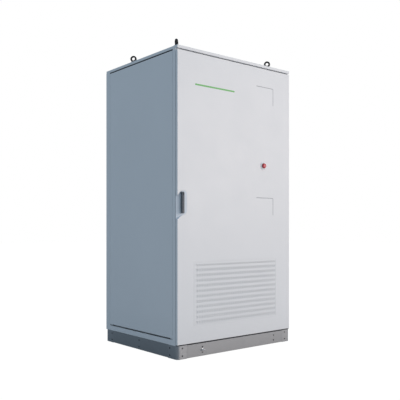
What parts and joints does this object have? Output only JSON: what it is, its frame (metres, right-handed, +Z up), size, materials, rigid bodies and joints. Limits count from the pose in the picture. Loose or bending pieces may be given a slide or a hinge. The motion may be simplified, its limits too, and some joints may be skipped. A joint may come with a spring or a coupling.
{
  "type": "battery cabinet",
  "caption": "Free-standing full-door battery cabinet with a vented, rod-locked door, stop button, plinth, lifting eyes and a rack of battery modules inside.",
  "frame": {"origin": "middle of the four floor anchor holes, on the underside of the plinth", "axes": "+X to the right seen from the door, +Y from the door to the rear, +Z up"},
  "size_m": [1.205, 1.0245, 2.3999],
  "materials": {
    "cabinet_paint": "fine-texture powder coat",
    "plinth_paint": "powder coat",
    "zinc_steel": "zinc plated",
    "dark_steel": "black paint",
    "black_plastic": "moulded",
    "seal_rubber": "foamed seal",
    "filter_mat": "fibre mat",
    "green_lens": "diffusing strip",
    "recess_plastic": "moulded",
    "handle_metal": "dark grey enamel",
    "lock_metal": "dark metal",
    "white_plastic": "moulded",
    "red_plastic": "moulded",
    "copper": "bare bar",
    "module_case": "moulded case"
  },
  "bodies": {
    "cabinet": {"plinth_corners": "plinth_paint", "plinth_panel_front": "plinth_paint", "plinth_panel_rear": "plinth_paint", "plinth_panel_left": "plinth_paint", "plinth_panel_right": "plinth_paint", "plinth_screws": "zinc_steel", "earth_stud": "zinc_steel", "base_frame": "cabinet_paint", "top_frame": "cabinet_paint", "channel_strips": "cabinet_paint", "front_post_left": "cabinet_paint", "front_post_right": "cabinet_paint", "rear_post_left": "cabinet_paint", "rear_post_right": "cabinet_paint", "floor_plate": "zinc_steel", "cable_glands": "black_plastic", "roof_panel": "cabinet_paint", "roof_beams": "zinc_steel", "lifting_pads": "cabinet_paint", "lifting_eyes": "dark_steel", "side_panel_left": "cabinet_paint", "side_panel_right": "cabinet_paint", "rear_panel": "cabinet_paint", "lock_keepers": "zinc_steel", "hinge_arms": "zinc_steel", "rack_uprights": "dark_steel", "module_runners": "zinc_steel", "busbars": "copper", "control_unit": "module_case", "smoke_detector": "white_plastic", "battery_modules_1": "module_case", "battery_modules_2": "module_case", "battery_modules_3": "module_case", "battery_modules_4": "module_case", "battery_modules_5": "module_case", "battery_modules_6": "module_case"},
    "door": {"door_panel": "cabinet_paint", "door_stiffeners": "zinc_steel", "door_gasket": "seal_rubber", "vent_grille": "cabinet_paint", "vent_filter": "filter_mat", "status_stripe": "green_lens", "handle_pocket": "recess_plastic", "lock_gearbox": "lock_metal", "rod_guides": "zinc_steel", "cooling_unit": "zinc_steel", "stop_guard": "white_plastic", "stop_contact_block": "black_plastic", "hinge_leaves": "zinc_steel", "hinge_pins": "zinc_steel"},
    "handle_turning_head": {"handle_spindle": "zinc_steel"},
    "handle_lever": {"handle_lever": "handle_metal", "handle_pivot_pin": "zinc_steel"},
    "key_cylinder": {"key_cylinder": "lock_metal"},
    "lock_rod_upper": {"lock_rod_upper": "zinc_steel"},
    "lock_rod_lower": {"lock_rod_lower": "zinc_steel"},
    "stop_button": {"stop_head": "red_plastic"},
    "cooling_fan_left": {"cooling_fan_left": "black_plastic"},
    "cooling_fan_right": {"cooling_fan_right": "black_plastic"},
    "main_switch": {"breaker_handle": "black_plastic"}
  },
  "joints": [
    {"name": "door_hinge", "type": "hinge", "parent": "cabinet", "child": "door", "pos_m": [0.59, -0.49, 1.188], "axis": [0, 0, 1], "range_deg": [0, 110]},
    {"name": "handle_turn", "type": "hinge", "parent": "door", "child": "handle_turning_head", "pos_m": [-0.5595, -0.49, 1.2185], "axis": [0, -1, 0], "range_deg": [0, 90]},
    {"name": "handle_lift", "type": "hinge", "parent": "handle_turning_head", "child": "handle_lever", "pos_m": [-0.5595, -0.5105, 1.2185], "axis": [-1, 0, 0], "range_deg": [0, 35]},
    {"name": "key_turn", "type": "hinge", "parent": "handle_lever", "child": "key_cylinder", "pos_m": [-0.5595, -0.514, 1.086], "axis": [0, -1, 0], "range_deg": [0, 90]},
    {"name": "rod_upper_slide", "type": "slide", "parent": "door", "child": "lock_rod_upper", "axis": [0, 0, -1], "range_m": [0, 0.01414]},
    {"name": "rod_lower_slide", "type": "slide", "parent": "door", "child": "lock_rod_lower", "axis": [0, 0, 1], "range_m": [0, 0.01414]},
    {"name": "stop_press", "type": "slide", "parent": "door", "child": "stop_button", "axis": [0, 1, 0], "range_m": [0, 0.005], "stiffness_N_per_m": 1500, "springref_m": -0.002},
    {"name": "fan_left_spin", "type": "hinge", "parent": "door", "child": "cooling_fan_left", "pos_m": [-0.206, -0.46, 0.46945], "axis": [0, 1, 0], "continuous": true},
    {"name": "fan_right_spin", "type": "hinge", "parent": "door", "child": "cooling_fan_right", "pos_m": [0.194, -0.46, 0.46945], "axis": [0, 1, 0], "continuous": true},
    {"name": "main_switch_turn", "type": "hinge", "parent": "cabinet", "child": "main_switch", "pos_m": [0, -0.29, 1.955], "axis": [0, -1, 0], "range_deg": [0, 90]}
  ],
  "couplings": [
    {"joint": "rod_upper_slide", "follows": "handle_turn", "m_per_rad": 0.009},
    {"joint": "rod_lower_slide", "follows": "handle_turn", "m_per_rad": 0.009}
  ]
}
